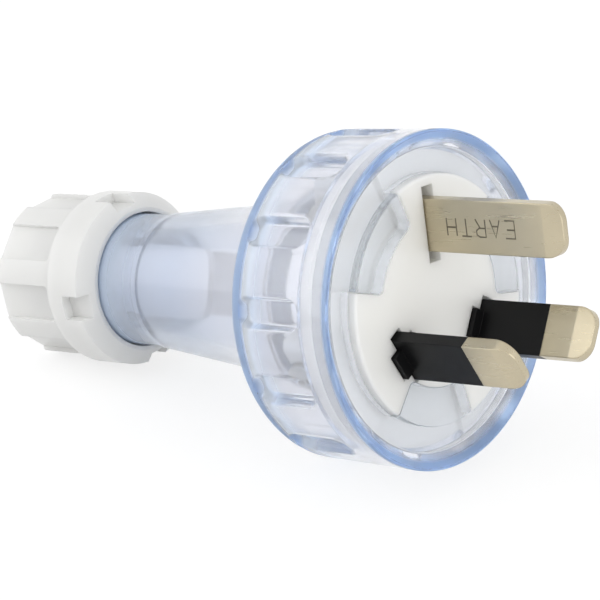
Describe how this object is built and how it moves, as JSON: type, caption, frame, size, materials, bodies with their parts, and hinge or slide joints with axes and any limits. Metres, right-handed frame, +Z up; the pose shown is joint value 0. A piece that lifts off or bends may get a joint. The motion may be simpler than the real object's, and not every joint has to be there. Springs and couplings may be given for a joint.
{
  "type": "three-pin plug top",
  "caption": "Clear rewirable three-pin mains plug with flat angled pins, insulated live pins, a fluted round head, a tapered neck and a white cord-grip nut.",
  "frame": {"origin": "on the surface that the plug lies on, under the middle of its bounding box", "axes": "+Z up; +X the way the pins point, seen from above; the plug lies on the rear corner of its head and on two ribs of its nut, so its own axis rises about 11 degrees towards the pins"},
  "size_m": [0.0852, 0.0406, 0.0421],
  "materials": {
    "clear_plastic": "gloss",
    "frosted_plastic": "satin",
    "white_plastic": "gloss",
    "plated_brass": "satin",
    "terminal_brass": "satin",
    "screw_steel": "satin",
    "black_sleeve": "satin"
  },
  "bodies": {
    "plug_body": {"cover_body": "clear_plastic", "retaining_ring": "clear_plastic", "pin_base": "white_plastic", "earth_pin": "plated_brass", "active_pin": "plated_brass", "neutral_pin": "plated_brass", "active_sleeve": "black_sleeve", "neutral_sleeve": "black_sleeve", "earth_terminal": "terminal_brass", "active_terminal": "terminal_brass", "neutral_terminal": "terminal_brass", "terminal_screws": "screw_steel"},
    "cord_grip": {"cord_grip_collet": "frosted_plastic"},
    "grip_nut": {"cord_grip_nut": "white_plastic"}
  },
  "joints": [
    {"name": "collet_slide", "type": "slide", "parent": "plug_body", "child": "cord_grip", "axis": [-0.9824, 0, -0.1869], "range_m": [0, 0.005]},
    {"name": "nut_turn", "type": "hinge", "parent": "cord_grip", "child": "grip_nut", "pos_m": [-0.0305, 0, 0.01177], "axis": [-0.9824, 0, -0.1869], "range_deg": [0, 720]}
  ],
  "couplings": [
    {"joint": "collet_slide", "follows": "nut_turn", "m_per_rad": 0.0003978}
  ]
}
